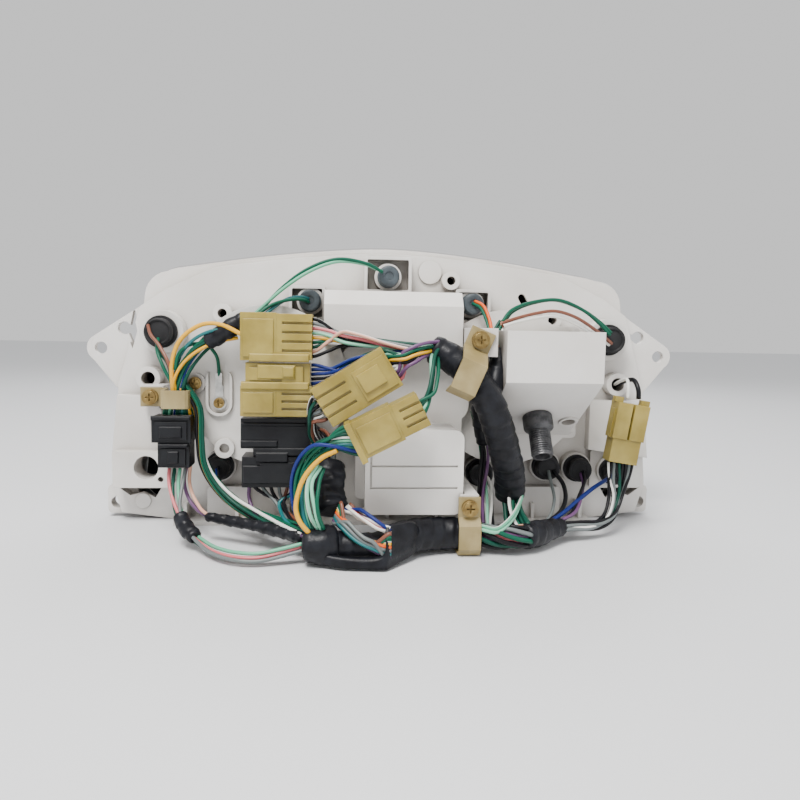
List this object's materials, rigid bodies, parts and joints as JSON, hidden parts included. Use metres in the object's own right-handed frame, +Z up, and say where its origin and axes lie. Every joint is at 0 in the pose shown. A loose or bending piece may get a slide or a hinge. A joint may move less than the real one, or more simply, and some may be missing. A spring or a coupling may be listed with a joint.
{
  "type": "motorcycle instrument cluster",
  "caption": "Wide instrument cluster: white moulded rear case with pods, ears and cable drive, clear lens over four dials, clamped wiring harness and plug connectors.",
  "frame": {"origin": "centre of the underside of the foot sill, in the plane of the ears' rear faces, on the surface that the cluster stands on", "axes": "+X across the cluster, to the right seen from behind; +Y out of the lens, towards the rider; +Z up"},
  "size_m": [0.361, 0.1704, 0.1713],
  "materials": {
    "white_plastic": "satin",
    "clear_lens": "clear, slightly smoked",
    "rubber_black": "matte",
    "rubber_grey": "matte",
    "mask_black": "matte",
    "lamp_window": "tinted",
    "dial_face": "printed",
    "pointer_orange": "fluorescent",
    "movement_steel": "plated",
    "drum_white": "printed",
    "knob_black": "satin",
    "nipple_metal": "dark zinc casting",
    "strap_beige": "coated strap",
    "screw_zinc": "yellow zinc plated",
    "terminal_tin": "tinned",
    "bulb_glass": "clear",
    "nylon_natural": "natural nylon, yellowed",
    "nylon_black": "moulded",
    "tape_black": "wrapped tape",
    "wire_green": "PVC insulation"
  },
  "bodies": {
    "case": {"rear_housing": "white_plastic", "lens_cover": "clear_lens", "lens_seal": "rubber_black", "front_bezel": "mask_black", "warning_panel": "lamp_window", "speedo_dial": "dial_face", "tacho_dial": "dial_face", "temp_dial": "dial_face", "fuel_dial": "dial_face", "speedo_movement": "movement_steel", "tacho_movement": "movement_steel", "temp_movement": "movement_steel", "fuel_movement": "movement_steel", "cable_nipple": "nipple_metal", "speedo_gear_cover": "white_plastic", "centre_cover": "white_plastic", "module_box": "white_plastic", "module_lid": "white_plastic", "clamp_upper": "strap_beige", "clamp_lower": "strap_beige", "clamp_left": "strap_beige", "screws": "screw_zinc", "earth_terminal": "terminal_tin", "lamp_sockets": "rubber_black", "warning_sockets": "rubber_grey", "bulbs": "bulb_glass", "connector_a_plug": "nylon_natural", "connector_a_socket": "nylon_natural", "connector_b_plug": "nylon_natural", "connector_b_socket": "nylon_natural", "connector_c_plug": "nylon_black", "connector_c_socket": "nylon_black", "connector_d_plug": "nylon_natural", "connector_d_socket": "nylon_natural", "connector_e_plug": "nylon_natural", "connector_e_socket": "nylon_natural", "connector_f_plug": "nylon_black", "connector_f_socket": "nylon_black", "connector_g_plug": "nylon_natural", "connector_g_socket": "nylon_natural", "trunk_upper": "tape_black", "trunk_lower": "tape_black", "trunk_stub": "tape_black", "lead_left_loop": "wire_green", "lead_top_arc": "wire_green", "lead_right_arc": "wire_green", "lead_left_bundle": "wire_green"},
    "speedo_needle": {"speedo_pointer": "pointer_orange"},
    "tacho_needle": {"tacho_pointer": "pointer_orange"},
    "temp_needle": {"temp_pointer": "pointer_orange"},
    "fuel_needle": {"fuel_pointer": "pointer_orange"},
    "drive_quill": {"drive_shaft": "movement_steel"},
    "magnet": {"magnet_spindle": "movement_steel"},
    "trip_button": {"reset_knob": "knob_black"},
    "odo_wheel_1": {"odo_drum_1": "drum_white"},
    "odo_wheel_2": {"odo_drum_2": "drum_white"},
    "odo_wheel_3": {"odo_drum_3": "drum_white"},
    "odo_wheel_4": {"odo_drum_4": "drum_white"},
    "trip_wheel_1": {"trip_drum_1": "drum_white"},
    "trip_wheel_2": {"trip_drum_2": "drum_white"}
  },
  "joints": [
    {"name": "speedo_sweep", "type": "hinge", "parent": "case", "child": "speedo_needle", "pos_m": [0.07, 0.028, 0.084], "axis": [0, -1, 0], "range_deg": [0, 250]},
    {"name": "tacho_sweep", "type": "hinge", "parent": "case", "child": "tacho_needle", "pos_m": [-0.07, 0.028, 0.084], "axis": [0, -1, 0], "range_deg": [0, 240]},
    {"name": "temp_sweep", "type": "hinge", "parent": "case", "child": "temp_needle", "pos_m": [-0.132, 0.028, 0.06], "axis": [0, -1, 0], "range_deg": [0, 90]},
    {"name": "fuel_sweep", "type": "hinge", "parent": "case", "child": "fuel_needle", "pos_m": [0.132, 0.028, 0.06], "axis": [0, -1, 0], "range_deg": [0, 90]},
    {"name": "drive_spin", "type": "hinge", "parent": "case", "child": "drive_quill", "pos_m": [0.0827, -0.04287, 0.06978], "axis": [0, 0.5511, 0.8345], "continuous": true},
    {"name": "magnet_spin", "type": "hinge", "parent": "case", "child": "magnet", "pos_m": [0.07, 0, 0.084], "axis": [0, 1, 0], "continuous": true},
    {"name": "trip_push", "type": "slide", "parent": "case", "child": "trip_button", "axis": [0, -1, 0], "range_m": [0, 0.003], "stiffness_N_per_m": 300, "springref_m": -0.002},
    {"name": "odo_spin_1", "type": "hinge", "parent": "case", "child": "odo_wheel_1", "pos_m": [0.0607, 0.016, 0.066], "axis": [1, 0, 0], "continuous": true},
    {"name": "odo_spin_2", "type": "hinge", "parent": "case", "child": "odo_wheel_2", "pos_m": [0.0669, 0.016, 0.066], "axis": [1, 0, 0], "continuous": true},
    {"name": "odo_spin_3", "type": "hinge", "parent": "case", "child": "odo_wheel_3", "pos_m": [0.0731, 0.016, 0.066], "axis": [1, 0, 0], "continuous": true},
    {"name": "odo_spin_4", "type": "hinge", "parent": "case", "child": "odo_wheel_4", "pos_m": [0.0793, 0.016, 0.066], "axis": [1, 0, 0], "continuous": true},
    {"name": "trip_spin_1", "type": "hinge", "parent": "case", "child": "trip_wheel_1", "pos_m": [0.0669, 0.016, 0.108], "axis": [1, 0, 0], "continuous": true},
    {"name": "trip_spin_2", "type": "hinge", "parent": "case", "child": "trip_wheel_2", "pos_m": [0.0731, 0.016, 0.108], "axis": [1, 0, 0], "continuous": true}
  ],
  "couplings": [
    {"joint": "magnet_spin", "follows": "drive_spin", "ratio": -1},
    {"joint": "odo_spin_1", "follows": "drive_spin", "ratio": 0.1},
    {"joint": "odo_spin_2", "follows": "drive_spin", "ratio": 0.01},
    {"joint": "odo_spin_3", "follows": "drive_spin", "ratio": 0.001},
    {"joint": "odo_spin_4", "follows": "drive_spin", "ratio": 0.0001},
    {"joint": "trip_spin_1", "follows": "drive_spin", "ratio": 0.1},
    {"joint": "trip_spin_2", "follows": "drive_spin", "ratio": 0.01}
  ]
}
